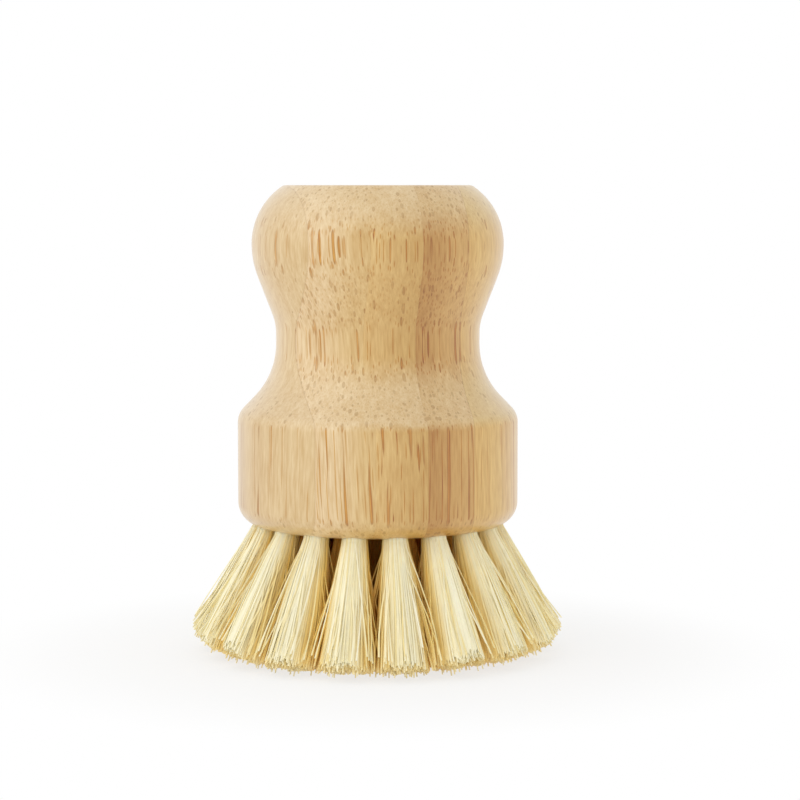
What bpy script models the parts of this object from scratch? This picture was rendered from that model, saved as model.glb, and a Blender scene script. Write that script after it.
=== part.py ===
"""Pot brush: a turned handle of laminated bamboo, with fibre tufts held in its holes by wire staples.

Metres, +Z up. The brush stands on its fibre tips. The origin is on the floor under the handle's centre.
Run it with: blender --background --python part.py
"""

import math
from dataclasses import dataclass

import bmesh
import bpy
from mathutils import Matrix, Vector
from mathutils.geometry import delaunay_2d_cdt

MM = 0.001

OVERALL_HEIGHT = 80.0 * MM
HANDLE_HEIGHT = 58.0 * MM

# Handle outline, from the top face down
TOP_RADIUS = 16.0 * MM  # of the flat top
KNOB_DROP = 10.0 * MM  # top face to the knob's widest ring
KNOB_RADIUS = 21.5 * MM
KNOB_LOWER_ROUND = 15.5 * MM
NECK_SLOPE = math.radians(21.0)  # from the vertical, between knob and waist
WAIST_UPPER_ROUND = 9.4 * MM
WAIST_RADIUS = 17.4 * MM
WAIST_LAND = 1.6 * MM  # straight stretch at the waist
WAIST_LOWER_ROUND = 13.1 * MM
CONE_SLOPE = math.radians(44.0)
SHOULDER_ROUND = 3.5 * MM
BASE_RADIUS = 24.0 * MM
BASE_EDGE_ROUND = 4.0 * MM
HANDLE_SIDES = 60
ARC_STEP = math.radians(12.0)

# Bamboo strips, glued face to face before the blank is turned
GLUE_LINE = 0.15 * MM
LAMINATE_TURN = math.radians(18.0)  # of the glue planes' normal, from +X
WAIST_SKIN = 1.1 * MM  # what is left of the outermost strips at the waist
GLUE_PLANE_SHARES = (-1.0, -0.46, 0.065, 0.6, 1.0)  # of the outermost planes' distance from the axis

# Drilled holes
HOLE_RADIUS = 2.3 * MM
HOLE_DEPTH = 8.0 * MM
HOLE_SIDES = 16
CUT_OVERRUN = 3.0 * MM

# Tufts: fibres folded in half round a staple, their free ends trimmed flat, with a rounded rim
TRIM_FLAT_RADIUS = 21.0 * MM  # of the flat part of the trim
TRIM_ROUND = 20.0 * MM  # of the rim
TUFT_CLEARANCE = 0.2 * MM  # between a tuft's root and its hole
ROOT_PROUD = 0.3 * MM  # the packed root stands this far out of the handle's face
FOLD_ROUND = 1.5 * MM
ROOT_SIDES = 12
STRANDS = 16
STRAND_MARGIN = 0.08 * MM  # between the outer strands and the root's edge
STRAND_SHARE = 0.54  # a strand's corner radius, as a share of the spacing of its neighbours
STRAND_TIP_SHARE = 0.9  # a strand's corner radius at the floor, as a share of one that spreads with the fan
FAN_GAP = 0.5 * MM  # between neighbouring fans at the floor

# Staples: flat wire bent to a U, whose crown lies in the fold
WIRE_WIDTH = 1.2 * MM
WIRE_THICKNESS = 0.4 * MM
STAPLE_INSET = 0.55 * MM  # leg centre to the hole's wall
CROWN_TO_FLOOR = 2.2 * MM  # crown centre to the hole's floor
LEG_BITE = 3.0 * MM  # legs driven in past the hole's floor
LEG_POINT = 0.8 * MM
STAPLE_CLEARANCE = 0.15 * MM

FACE_HEIGHT = OVERALL_HEIGHT - HANDLE_HEIGHT  # the handle's flat bottom face above the floor
ROOT_RADIUS = HOLE_RADIUS - TUFT_CLEARANCE
STAPLE_HALF_SPAN = HOLE_RADIUS - STAPLE_INSET
CROWN_DEPTH = HOLE_DEPTH - CROWN_TO_FLOOR
GOLDEN_ANGLE = math.pi * (3.0 - math.sqrt(5.0))


@dataclass(frozen=True)
class Ring:
    """One ring of holes. Its radii are shares of the base radius; tilt leans a hole outwards."""

    name: str
    count: int
    phase: float
    tilt: float
    hole_share: float
    tip_inner_share: float
    tip_outer_share: float

    @property
    def radius(self):
        return BASE_RADIUS * self.hole_share


RINGS = (
    Ring("outer", 18, math.radians(9.0), math.radians(13.0), 0.81, 0.80, 1.39),
    Ring("middle", 8, math.radians(20.0), math.radians(4.0), 0.49, 0.29, 0.80),
    Ring("centre", 1, math.radians(0.0), math.radians(0.0), 0.0, -0.29, 0.29),
)
FRONT = math.radians(-90.0)  # the ring phases are measured from the front, -Y

BAMBOO_TONES = (
    (0.66, 0.44, 0.21),
    (0.69, 0.48, 0.25),
    (0.68, 0.47, 0.24),
    (0.60, 0.38, 0.18),
    (0.65, 0.44, 0.21),
    (0.67, 0.45, 0.22),
)
FIBRE_TONE = (0.76, 0.63, 0.34)
WIRE_TONE = (0.55, 0.55, 0.53)


def clear_scene():
    for thing in list(bpy.data.objects):
        bpy.data.objects.remove(thing)


def material(name, tone, roughness, metallic):
    made = bpy.data.materials.new(name)
    made.use_nodes = True
    shader = made.node_tree.nodes["Principled BSDF"]
    shader.inputs["Base Color"].default_value = (*tone, 1.0)
    shader.inputs["Roughness"].default_value = roughness
    shader.inputs["Metallic"].default_value = metallic
    made.diffuse_color = (*tone, 1.0)
    return made


def new_object(name, mesh, parent, finish=None):
    made = bpy.data.objects.new(name, mesh)
    made.parent = parent
    if finish is not None and not mesh.materials:
        mesh.materials.append(finish)
    bpy.context.scene.collection.objects.link(made)
    return made


def mesh_from(bm, name):
    bmesh.ops.recalc_face_normals(bm, faces=bm.faces)
    mesh = bpy.data.meshes.new(name)
    bm.to_mesh(mesh)
    bm.free()
    return mesh


def helper(name, mesh, parent):
    """A cutter: drawn as wire, and left out of the object."""
    made = new_object(name, mesh, parent)
    made.hide_render = True
    made.display_type = "WIRE"
    return made


def cut(target, cutter):
    modifier = target.modifiers.new(cutter.name, "BOOLEAN")
    modifier.operation = "DIFFERENCE"
    modifier.solver = "EXACT"
    modifier.object = cutter


def arc(centre_radius, centre_height, round_radius, start, end):
    """Points of an outline's arc, as (radius, height), from one angle to another."""
    steps = max(1, math.ceil(abs(end - start) / ARC_STEP))
    angles = [start + (end - start) * step / steps for step in range(steps + 1)]
    return [
        (centre_radius + round_radius * math.cos(angle), centre_height + round_radius * math.sin(angle))
        for angle in angles
    ]


def s_curve(top_radius, top_height, bottom_radius, slope, top_round, bottom_round):
    """An arc, a line at the slope and an arc back, down from one radius to another.

    Both arcs shrink alike where the step between the radii is too small for them.
    """
    step = bottom_radius - top_radius
    side = math.copysign(1.0, step)
    taken = (top_round + bottom_round) * (1.0 - math.cos(slope))
    fit = min(1.0, abs(step) / taken)
    top_round *= fit
    bottom_round *= fit
    line_drop = (abs(step) - taken * fit) / math.tan(slope)
    drop = (top_round + bottom_round) * math.sin(slope) + line_drop
    upper = arc(top_radius + side * top_round, top_height, -side * top_round, 0.0, side * slope)
    lower = arc(
        bottom_radius - side * bottom_round, top_height - drop, side * bottom_round, side * slope, 0.0
    )
    return upper + lower, top_height - drop


def handle_outline():
    """The handle's outline from the top face's edge to the bottom face's, as (radius, height)."""
    knob_height = OVERALL_HEIGHT - KNOB_DROP
    knob_overhang = KNOB_RADIUS - TOP_RADIUS
    knob_round = (knob_overhang**2 + KNOB_DROP**2) / (2 * knob_overhang)  # upright at the widest ring
    knob_reach = math.atan2(KNOB_DROP, knob_round - knob_overhang)
    knob = arc(KNOB_RADIUS - knob_round, knob_height, knob_round, knob_reach, 0.0)
    neck, waist_height = s_curve(
        KNOB_RADIUS, knob_height, WAIST_RADIUS, NECK_SLOPE, KNOB_LOWER_ROUND, WAIST_UPPER_ROUND
    )
    cone, _ = s_curve(
        WAIST_RADIUS, waist_height - WAIST_LAND, BASE_RADIUS, CONE_SLOPE, WAIST_LOWER_ROUND, SHOULDER_ROUND
    )
    edge_height = FACE_HEIGHT + BASE_EDGE_ROUND
    edge = arc(BASE_RADIUS - BASE_EDGE_ROUND, edge_height, BASE_EDGE_ROUND, 0.0, math.radians(-90.0))
    return knob + neck[1:] + cone + edge


def turned_blank(outline):
    """The outline turned round Z, with a flat face at each end."""
    bm = bmesh.new()
    points = [bm.verts.new((radius, 0.0, height)) for radius, height in outline]
    edges = [bm.edges.new(pair) for pair in zip(points, points[1:])]
    bmesh.ops.spin(
        bm,
        geom=points + edges,
        cent=(0.0, 0.0, 0.0),
        axis=(0.0, 0.0, 1.0),
        angle=math.tau,
        steps=HANDLE_SIDES,
        use_merge=True,
    )
    bmesh.ops.holes_fill(bm, edges=bm.edges, sides=0)
    bmesh.ops.recalc_face_normals(bm, faces=bm.faces)
    return bm


def keep_side(bm, distance, normal):
    """Cuts the blank at a plane, keeps the side the normal points to and closes the cut."""
    made = bmesh.ops.bisect_plane(
        bm,
        geom=list(bm.verts) + list(bm.edges) + list(bm.faces),
        plane_co=normal * distance,
        plane_no=normal,
        clear_inner=True,
    )
    rim = [item for item in made["geom_cut"] if isinstance(item, bmesh.types.BMEdge)]
    bmesh.ops.edgeloop_fill(bm, edges=rim)


def glue_planes():
    outermost = WAIST_RADIUS - WAIST_SKIN
    return [outermost * share for share in GLUE_PLANE_SHARES]


def bamboo_strips(parent, cutters):
    """Each strip is the slab of the turned blank between two glue planes, with the holes cut."""
    outline = handle_outline()
    normal = Vector((math.cos(LAMINATE_TURN), math.sin(LAMINATE_TURN), 0.0))
    planes = glue_planes()
    lower_sides = [None] + planes
    upper_sides = planes + [None]
    for index, (low, high) in enumerate(zip(lower_sides, upper_sides)):
        bm = turned_blank(outline)
        if low is not None:
            keep_side(bm, low + GLUE_LINE / 2, normal)
        if high is not None:
            keep_side(bm, -(high - GLUE_LINE / 2), -normal)
        name = f"bamboo_strip_{index + 1}"
        mesh = mesh_from(bm, name)
        mesh.shade_smooth()
        mesh.set_sharp_from_angle(angle=math.radians(30.0))
        finish = material(f"bamboo_{index + 1}", BAMBOO_TONES[index], 0.5, 0.0)
        strip = new_object(name, mesh, parent, finish)
        for cutter in cutters:
            cut(strip, cutter)


def hole_frame(ring):
    """Axes of a hole whose mouth is at the origin, with +X outwards: into the wood, outwards, across."""
    inwards = Vector((-math.sin(ring.tilt), 0.0, math.cos(ring.tilt)))
    outwards = Vector((math.cos(ring.tilt), 0.0, math.sin(ring.tilt)))
    return inwards, outwards, Vector((0.0, 1.0, 0.0))


def seats(ring):
    """Places of the ring's holes: the mouth's centre on the bottom face, +X turned outwards."""
    for index in range(ring.count):
        angle = FRONT + ring.phase + math.tau * index / ring.count
        turn = Matrix.Rotation(angle, 4, "Z")
        centre = Vector((ring.radius * math.cos(angle), ring.radius * math.sin(angle), FACE_HEIGHT))
        yield Matrix.Translation(centre) @ turn


def circle(centre, across, along, radius, sides):
    return [
        centre
        + across * (radius * math.cos(math.tau * side / sides))
        + along * (radius * math.sin(math.tau * side / sides))
        for side in range(sides)
    ]


def bridge(bm, lower, upper):
    """A band of faces between two rings of as many vertices."""
    count = len(lower)
    for index in range(count):
        following = (index + 1) % count
        bm.faces.new((lower[index], lower[following], upper[following], upper[index]))


def add_hole(bm, ring):
    inwards, outwards, across = hole_frame(ring)
    mouth = circle(inwards * -CUT_OVERRUN, outwards, across, HOLE_RADIUS, HOLE_SIDES)
    floor = circle(inwards * HOLE_DEPTH, outwards, across, HOLE_RADIUS, HOLE_SIDES)
    lower = [bm.verts.new(point) for point in mouth]
    upper = [bm.verts.new(point) for point in floor]
    bridge(bm, lower, upper)
    bm.faces.new(lower)
    bm.faces.new(upper)


def staple_outline(grow):
    """The U of the staple as (across, depth) points, every side moved out by grow."""
    outer = STAPLE_HALF_SPAN + WIRE_THICKNESS / 2 + grow
    inner = STAPLE_HALF_SPAN - WIRE_THICKNESS / 2 - grow
    crown_top = CROWN_DEPTH - WIRE_THICKNESS / 2 - grow
    crown_under = CROWN_DEPTH + WIRE_THICKNESS / 2 + grow
    leg_end = HOLE_DEPTH + LEG_BITE + grow
    leg_shoulder = leg_end - LEG_POINT
    half = [
        (outer, crown_top),
        (outer, leg_shoulder),
        (STAPLE_HALF_SPAN, leg_end),
        (inner, leg_shoulder),
        (inner, crown_under),
    ]
    return half + [(-across, depth) for across, depth in reversed(half)]


def add_staple(bm, ring, grow):
    inwards, outwards, across = hole_frame(ring)
    half_width = WIRE_WIDTH / 2 + grow
    sides = []
    for offset in (-half_width, half_width):
        points = [outwards * offset + across * a + inwards * d for a, d in staple_outline(grow)]
        sides.append([bm.verts.new(point) for point in points])
    bridge(bm, sides[0], sides[1])
    for side in sides:
        bm.faces.new(side)


def ring_cutter(name, parent, add_shape):
    """One cutter with a copy of the shape at every seat."""
    bm = bmesh.new()
    for ring in RINGS:
        for seat in seats(ring):
            before = set(bm.verts)
            add_shape(bm, ring)
            bmesh.ops.transform(bm, matrix=seat, verts=[v for v in bm.verts if v not in before])
    return helper(name, mesh_from(bm, name), parent)


def strand_centres():
    """Centres of the strands in a unit disc, spread evenly by the golden angle, and their least spacing."""
    centres = []
    for index in range(STRANDS):
        reach = math.sqrt((index + 0.5) / STRANDS)
        turn = GOLDEN_ANGLE * index
        centres.append(Vector((reach * math.cos(turn), reach * math.sin(turn))))
    spacing = min((a - b).length for i, a in enumerate(centres) for b in centres[:i])
    return centres, spacing


class Fan:
    """How a tuft's unit disc lies at each height, from its root's face down to the floor.

    Every level is a stretched copy of the disc, so strands that are clear of each other in the disc
    never cross. Places are in the seat's frame, with +X outwards and the mouth's centre at the origin.
    """

    def __init__(self, ring, strand_radius):
        self.seat_radius = ring.radius
        self.root_height = -ROOT_PROUD
        self.floor_height = -FACE_HEIGHT
        self.root_centre = Vector((ROOT_PROUD * math.tan(ring.tilt), 0.0))
        disc = (ROOT_RADIUS - STRAND_MARGIN) / (1.0 + strand_radius)
        self.root_half = Vector((disc, disc))
        inner = BASE_RADIUS * ring.tip_inner_share
        outer = BASE_RADIUS * ring.tip_outer_share
        middle = (inner + outer) / 2
        tip_strand = 1.0 + strand_radius * STRAND_TIP_SHARE
        reach = (outer - inner - FAN_GAP) / 2
        across = reach
        if ring.count > 2:
            sector = math.pi / ring.count
            wall = middle * math.sin(sector) - FAN_GAP / 2
            across = math.sqrt(max(0.0, wall**2 - (reach * math.sin(sector)) ** 2)) / math.cos(sector)
        self.floor_centre = Vector((middle - ring.radius, 0.0))
        self.floor_half = Vector((reach, min(reach, across))) / tip_strand

    def place(self, point, height):
        """Where a point of the disc lies at a height."""
        share = (self.root_height - height) / (self.root_height - self.floor_height)
        centre = self.root_centre.lerp(self.floor_centre, share)
        half = self.root_half.lerp(self.floor_half, share)
        return Vector((centre.x + half.x * point.x, centre.y + half.y * point.y, height))

    def tip_height(self, centre):
        """Where a strand is trimmed: flat on the floor, or above it the further out it would meet it."""
        foot = self.place(centre, self.floor_height)
        past = math.hypot(self.seat_radius + foot.x, foot.y) - TRIM_FLAT_RADIUS
        past = min(max(past, 0.0), TRIM_ROUND)
        return self.floor_height + TRIM_ROUND - math.sqrt(TRIM_ROUND**2 - past**2)


def corners(centre, radius):
    """A strand's three corners in the unit disc."""
    turns = [math.tau * corner / 3 for corner in range(3)]
    return [centre + Vector((radius * math.cos(turn), radius * math.sin(turn))) for turn in turns]


def root_level(ring, depth, radius):
    """A ring of points round the hole's axis, square to it, or on the root's face where depth is None."""
    inwards, outwards, across = hole_frame(ring)
    points = circle(inwards * (depth or 0.0), outwards, across, radius, ROOT_SIDES)
    if depth is None:
        points = [point + inwards * ((-ROOT_PROUD - point.z) / inwards.z) for point in points]
    return points


def tuft_mesh(ring, slot):
    """A packed root, folded round the staple's slot, whose face carries the fan of strands."""
    centres, spacing = strand_centres()
    strand_radius = STRAND_SHARE * spacing
    fan = Fan(ring, strand_radius)
    face_edge = [point.xy for point in root_level(ring, None, ROOT_RADIUS)]
    feet = []
    for centre in centres:
        feet += [fan.place(corner, fan.root_height).xy for corner in corners(centre, strand_radius)]
    outline = list(range(ROOT_SIDES))
    foot_faces = [[ROOT_SIDES + 3 * strand + corner for corner in range(3)] for strand in range(STRANDS)]
    points, _, faces, sources, _, face_sources = delaunay_2d_cdt(
        face_edge + feet, [], [outline] + foot_faces, 1, MM * 1e-4
    )
    bm = bmesh.new()
    face_verts = [bm.verts.new((point.x, point.y, fan.root_height)) for point in points]
    vert_of = {source: face_verts[index] for index, found in enumerate(sources) for source in found}
    for face, found in zip(faces, face_sources):
        if max(found) == 0:
            bm.faces.new([face_verts[index] for index in face])
    for centre, foot in zip(centres, foot_faces):
        tip = fan.tip_height(centre)
        share = (fan.root_height - tip) / (fan.root_height - fan.floor_height)
        tip_radius = strand_radius * (1.0 + (STRAND_TIP_SHARE - 1.0) * share)
        ends = [bm.verts.new(fan.place(corner, tip)) for corner in corners(centre, tip_radius)]
        bridge(bm, [vert_of[index] for index in foot], ends)
        bm.faces.new(ends)
    fold_end = HOLE_DEPTH - TUFT_CLEARANCE
    fold_turn = math.radians(50.0)
    levels = (
        (fold_end - FOLD_ROUND, ROOT_RADIUS),
        (fold_end, ROOT_RADIUS - FOLD_ROUND * (1.0 - math.cos(fold_turn))),
    )
    below = [vert_of[index] for index in outline]
    for depth, radius in levels:
        above = [bm.verts.new(point) for point in root_level(ring, depth, radius)]
        bridge(bm, below, above)
        below = above
    bm.faces.new(below)
    name = f"tuft_{ring.name}"
    whole = helper(f"{name}_uncut", mesh_from(bm, name), None)
    cut(whole, slot)
    graph = bpy.context.evaluated_depsgraph_get()
    mesh = bpy.data.meshes.new_from_object(whole.evaluated_get(graph))
    bpy.data.objects.remove(whole)
    return mesh


def staple_mesh(ring, name, grow):
    bm = bmesh.new()
    add_staple(bm, ring, grow)
    return mesh_from(bm, name)


def tufts_and_staples(parent):
    fibre = material("fibre", FIBRE_TONE, 0.6, 0.0)
    wire = material("staple_wire", WIRE_TONE, 0.35, 1.0)
    for ring in RINGS:
        slot = helper(f"slot_{ring.name}", staple_mesh(ring, f"slot_{ring.name}", STAPLE_CLEARANCE), None)
        tuft = tuft_mesh(ring, slot)
        staple = staple_mesh(ring, f"staple_{ring.name}", 0.0)
        for index, seat in enumerate(seats(ring)):
            number = f"{index + 1:02d}"
            for kind, mesh, finish in (("tuft", tuft, fibre), ("staple", staple, wire)):
                placed = new_object(f"{kind}_{ring.name}_{number}", mesh, parent, finish)
                placed.matrix_world = seat


def main():
    clear_scene()
    axis = bpy.data.objects.new("brush_axis", None)
    bpy.context.scene.collection.objects.link(axis)
    holes = ring_cutter("tuft_holes", axis, add_hole)
    slots = ring_cutter(
        "staple_slots", axis, lambda bm, ring: add_staple(bm, ring, STAPLE_CLEARANCE)
    )
    bamboo_strips(axis, (holes, slots))
    tufts_and_staples(axis)
    print(f"{STRANDS * sum(ring.count for ring in RINGS)} strands")


main()
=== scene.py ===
"""Looks of a pot brush: a turned bamboo handle, folded fibre tufts and the staples that hold them.

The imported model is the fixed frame. The handle's six glued strips and the 27 tufts are built here as
finer pieces that stand for their CAD nodes; the staples keep their own meshes and get a drawn wire's
finish. Lengths are in metres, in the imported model's frame: Z up, the front towards -Y.
"""

import logging
import math
from collections.abc import Iterator, Sequence
from dataclasses import dataclass, field
from enum import Enum
from functools import cached_property
from typing import Any, TypeAlias

import bmesh
import bpy
import numpy as np
from mathutils import Color, Matrix, Vector


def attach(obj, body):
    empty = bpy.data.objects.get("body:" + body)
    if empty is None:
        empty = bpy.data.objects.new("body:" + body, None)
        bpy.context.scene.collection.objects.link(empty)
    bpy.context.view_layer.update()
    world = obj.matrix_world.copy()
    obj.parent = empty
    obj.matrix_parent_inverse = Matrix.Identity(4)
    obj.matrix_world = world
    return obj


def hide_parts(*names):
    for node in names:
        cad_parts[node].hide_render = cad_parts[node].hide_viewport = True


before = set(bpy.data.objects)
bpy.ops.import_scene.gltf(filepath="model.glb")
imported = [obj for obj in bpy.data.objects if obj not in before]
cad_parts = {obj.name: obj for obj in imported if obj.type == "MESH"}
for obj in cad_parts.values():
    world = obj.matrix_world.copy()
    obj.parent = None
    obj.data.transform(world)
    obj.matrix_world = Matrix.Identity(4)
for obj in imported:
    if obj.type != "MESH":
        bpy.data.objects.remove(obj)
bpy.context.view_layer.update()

Amount: TypeAlias = "Level | float"
Pair: TypeAlias = tuple[float, float]
Triple: TypeAlias = tuple[float, float, float]
Colour: TypeAlias = tuple[float, float, float, float]
Outline: TypeAlias = list[Pair]
Settings: TypeAlias = dict[str, Any] | None
Inputs: TypeAlias = dict[str | int, Any] | None
Socket: TypeAlias = bpy.types.NodeSocket

LOG = logging.getLogger("pot_brush")
MM = 0.001
BODY = "root"
GOLDEN_ANGLE = math.pi * (3.0 - math.sqrt(5.0))
QUARTER_TURN = math.radians(90.0)
FRONT = -QUARTER_TURN  # the rings' first holes are counted from here
SCREEN_WHITE = 255.0
WHITE: Colour = (1.0, 1.0, 1.0, 1.0)


class Slot(Enum):
    """Names for the kinds of finish: bamboo, the darker strip's bamboo and fibre."""

    BAMBOO = "bamboo"
    DARK_BAMBOO = "bamboo_dark"
    FIBRE = "fibre"


def tone(red: int, green: int, blue: int) -> Colour:
    """The linear colour, with full alpha, of one that a screen shows as 0 to 255 in each channel."""
    shown = Color((red, green, blue)) / SCREEN_WHITE
    return (*shown.from_srgb_to_scene_linear(), 1.0)


class Level:
    """A number that varies over a surface. Python's operators on it add the material's Math nodes."""

    def __init__(self, recipe: "Recipe", socket: Socket) -> None:
        """Wraps a socket of the recipe's node tree."""
        self.recipe = recipe
        self.socket = socket

    def _math(self, operation: str, *values: Amount) -> "Level":
        """Adds one Math node on the given values."""
        return self.recipe.level("ShaderNodeMath", {"operation": operation}, dict(enumerate(values)))

    def __add__(self, other: Amount) -> "Level":
        """Sum."""
        return self._math("ADD", self, other)

    def __radd__(self, other: float) -> "Level":
        """Sum with a number on the left."""
        return self._math("ADD", other, self)

    def __sub__(self, other: Amount) -> "Level":
        """Difference."""
        return self._math("SUBTRACT", self, other)

    def __rsub__(self, other: float) -> "Level":
        """Difference with a number on the left."""
        return self._math("SUBTRACT", other, self)

    def __mul__(self, other: Amount) -> "Level":
        """Product."""
        return self._math("MULTIPLY", self, other)

    def __rmul__(self, other: float) -> "Level":
        """Product with a number on the left."""
        return self._math("MULTIPLY", other, self)

    def __truediv__(self, other: Amount) -> "Level":
        """Quotient."""
        return self._math("DIVIDE", self, other)

    def __rtruediv__(self, other: float) -> "Level":
        """Quotient with a number on the left."""
        return self._math("DIVIDE", other, self)

    def __abs__(self) -> "Level":
        """Size without its sign."""
        return self._math("ABSOLUTE", self)

    def root(self) -> "Level":
        """Square root."""
        return self._math("SQRT", self)

    def cosine(self) -> "Level":
        """Cosine of an angle in radians."""
        return self._math("COSINE", self)

    def turn_from(self, across: "Level") -> "Level":
        """The angle whose tangent is this over the other, in radians."""
        return self._math("ARCTAN2", self, across)

    def least(self, other: Amount) -> "Level":
        """The smaller of the two."""
        return self._math("MINIMUM", self, other)

    def most(self, other: Amount) -> "Level":
        """The larger of the two."""
        return self._math("MAXIMUM", self, other)

    def centred(self) -> "Level":
        """How far it is above the mean of a noise, which is one half."""
        return self - 0.5

    def between(self, ends: Pair) -> "Level":
        """The first number where it is 0, the second where it is 1, and in proportion elsewhere."""
        return ends[0] + self * (ends[1] - ends[0])

    def eased(self, start: Amount, end: Amount) -> "Level":
        """A share that rises smoothly from 0 where it is at start to 1 where it is at end."""
        inputs = {"Value": self, "From Min": start, "From Max": end}
        return self.recipe.level("ShaderNodeMapRange", {"interpolation_type": "SMOOTHSTEP"}, inputs)


@dataclass(frozen=True)
class Pattern:
    """A texture's grains or cells: their width in plan, their length upwards, a shift and their detail."""

    width: float
    length: float
    shift: float = 0.0
    detail: float = 2.0


class Recipe:
    """The node tree of a material, or of the world, and the few kinds of step that it is made of.

    A shift moves a pattern by shift_way along the three axes. The Mix node's sockets share names, so
    mix_colours and mixed_colour number those of its two colours and of their mix.
    """

    shift_way: Triple = (1.0, -0.6, 0.4)
    mix_colours: tuple[int, int] = (6, 7)
    mixed_colour: int = 2

    def __init__(self, owner: bpy.types.Material | bpy.types.World, shader: str = "Principled BSDF") -> None:
        """Takes on a new owner's node tree.

        Args:
            owner: The material or the world.
            shader: The name of the shader that its output shows.
        """
        owner.use_nodes = True
        self.owner = owner
        self.tree = owner.node_tree
        self.shader = self.tree.nodes[shader]

    @cached_property
    def place(self) -> Socket:
        """The point on the surface, in the part's frame."""
        return self.node("ShaderNodeTexCoord").outputs["Object"]

    def node(self, kind: str, settings: Settings = None, inputs: Inputs = None) -> bpy.types.Node:
        """Adds a node of any kind.

        Args:
            kind: The node's type.
            settings: Its settings, set before its sockets; "stops" are a colour ramp's stops.
            inputs: A value, a level or a socket for each named or numbered input.

        Returns:
            The node.
        """
        made = self.tree.nodes.new(kind)
        for name, value in (settings or {}).items():
            if name == "stops":
                self._set_stops(made.color_ramp.elements, value)
            else:
                setattr(made, name, value)
        for name, value in (inputs or {}).items():
            self.feed(made.inputs[name], value)
        return made

    @staticmethod
    def _set_stops(elements: Any, stops: Sequence[tuple[float, Colour]]) -> None:
        """Gives a colour ramp its stops.

        Args:
            elements: The ramp's first elements, to which more are added.
            stops: Each stop's place and colour, in order.
        """
        for index, (position, colour) in enumerate(stops):
            element = elements[index] if index < len(elements) else elements.new(position)
            element.position = position
            element.color = colour

    def feed(self, socket: Socket, value: Any) -> None:
        """Links a level or socket to a socket, or sets its plain value.

        Args:
            socket: The input.
            value: What goes in.
        """
        if isinstance(value, Level):
            value = value.socket
        if isinstance(value, bpy.types.NodeSocket):
            self.tree.links.new(value, socket)
        else:
            socket.default_value = value

    def level(
        self, kind: str, settings: Settings = None, inputs: Inputs = None, output: str | int = 0
    ) -> Level:
        """Adds a node and wraps one of its outputs as a level."""
        return Level(self, self.node(kind, settings, inputs).outputs[output])

    def parts(self, vector: Socket) -> list[Level]:
        """The three numbers of a vector, or of a colour read as one."""
        node = self.node("ShaderNodeSeparateXYZ", inputs={0: vector})
        return [Level(self, output) for output in node.outputs]

    def vector(self, x: Amount, y: Amount, z: Amount) -> Socket:
        """A vector from three numbers."""
        return self.node("ShaderNodeCombineXYZ", inputs={0: x, 1: y, 2: z}).outputs[0]

    def stretched(self, vector: Socket, pattern: Pattern, shift: float) -> Socket:
        """A place measured in grains.

        Args:
            vector: The place, in metres.
            pattern: The grains.
            shift: Moves the pattern further, in grains, so that no two strips show the same piece of it.

        Returns:
            The scaled place.
        """
        scale = (1.0 / pattern.width, 1.0 / pattern.width, 1.0 / pattern.length)
        moved = tuple((pattern.shift + shift) * share for share in self.shift_way)
        inputs = {0: vector, 1: scale, 2: moved}
        return self.node("ShaderNodeVectorMath", {"operation": "MULTIPLY_ADD"}, inputs).outputs[0]

    def noise(self, vector: Socket, pattern: Pattern, shift: float = 0.0) -> bpy.types.Node:
        """A noise texture of the given pattern, shifted further."""
        inputs = {"Vector": self.stretched(vector, pattern, shift), "Scale": 1.0, "Detail": pattern.detail}
        return self.node("ShaderNodeTexNoise", {"noise_dimensions": "3D"}, inputs)

    def cloud(self, vector: Socket, pattern: Pattern, shift: float = 0.0) -> Level:
        """The noise as a level whose mean is about one half."""
        return Level(self, self.noise(vector, pattern, shift).outputs["Fac"])

    def cells(
        self, vector: Socket, pattern: Pattern, shift: float, jitter: float
    ) -> tuple[Level, list[Level]]:
        """Points scattered in plan, one to a cell.

        Args:
            vector: The place, in metres.
            pattern: The cells.
            shift: Moves the pattern further, in cells.
            jitter: How far the points leave their cells' middles, from 0 to 1.

        Returns:
            The distance to the nearest point, in cells, and three random numbers of that point's own.
        """
        settings = {"voronoi_dimensions": "2D", "feature": "F1"}
        inputs = {"Vector": self.stretched(vector, pattern, shift), "Scale": 1.0, "Randomness": jitter}
        outputs = self.node("ShaderNodeTexVoronoi", settings, inputs).outputs
        return Level(self, outputs["Distance"]), self.parts(outputs["Color"])

    def blend(self, share: Amount, below: Any, above: Any, kind: str = "MIX") -> Socket:
        """Mixes two colours.

        Args:
            share: How much of the second colour shows.
            below: The first colour, as a value or a socket.
            above: The second colour, as a value or a socket.
            kind: The Mix node's way of blending.

        Returns:
            The mixed colour.
        """
        settings = {"data_type": "RGBA", "blend_type": kind, "clamp_factor": True}
        inputs = {"Factor": share, **dict(zip(self.mix_colours, (below, above)))}
        return self.node("ShaderNodeMix", settings, inputs).outputs[self.mixed_colour]

    def lit(self, colour: Socket, gain: Level, pull: Triple = (1.0, 1.0, 1.0)) -> Socket:
        """A colour made lighter or darker by a factor.

        Args:
            colour: The colour.
            gain: The factor.
            pull: How strongly the factor acts on red, green and blue.

        Returns:
            The new colour.
        """
        change = gain - 1.0
        factor = self.vector(*(1.0 + change * share for share in pull))
        return self.node("ShaderNodeVectorMath", {"operation": "MULTIPLY"}, {0: colour, 1: factor}).outputs[0]

    def surface(self, **inputs: Any) -> None:
        """Feeds the surface shader's sockets, named with underscores for spaces."""
        for name, value in inputs.items():
            self.feed(self.shader.inputs[name.replace("_", " ")], value)

    def relief(self, height: Level, depth: float, strength: float) -> Socket:
        """The bumped normal of a relief from 0 to 1, which is a real depth shown at a strength."""
        inputs = {"Height": height, "Distance": depth, "Strength": strength}
        return self.node("ShaderNodeBump", inputs=inputs).outputs["Normal"]

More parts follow.
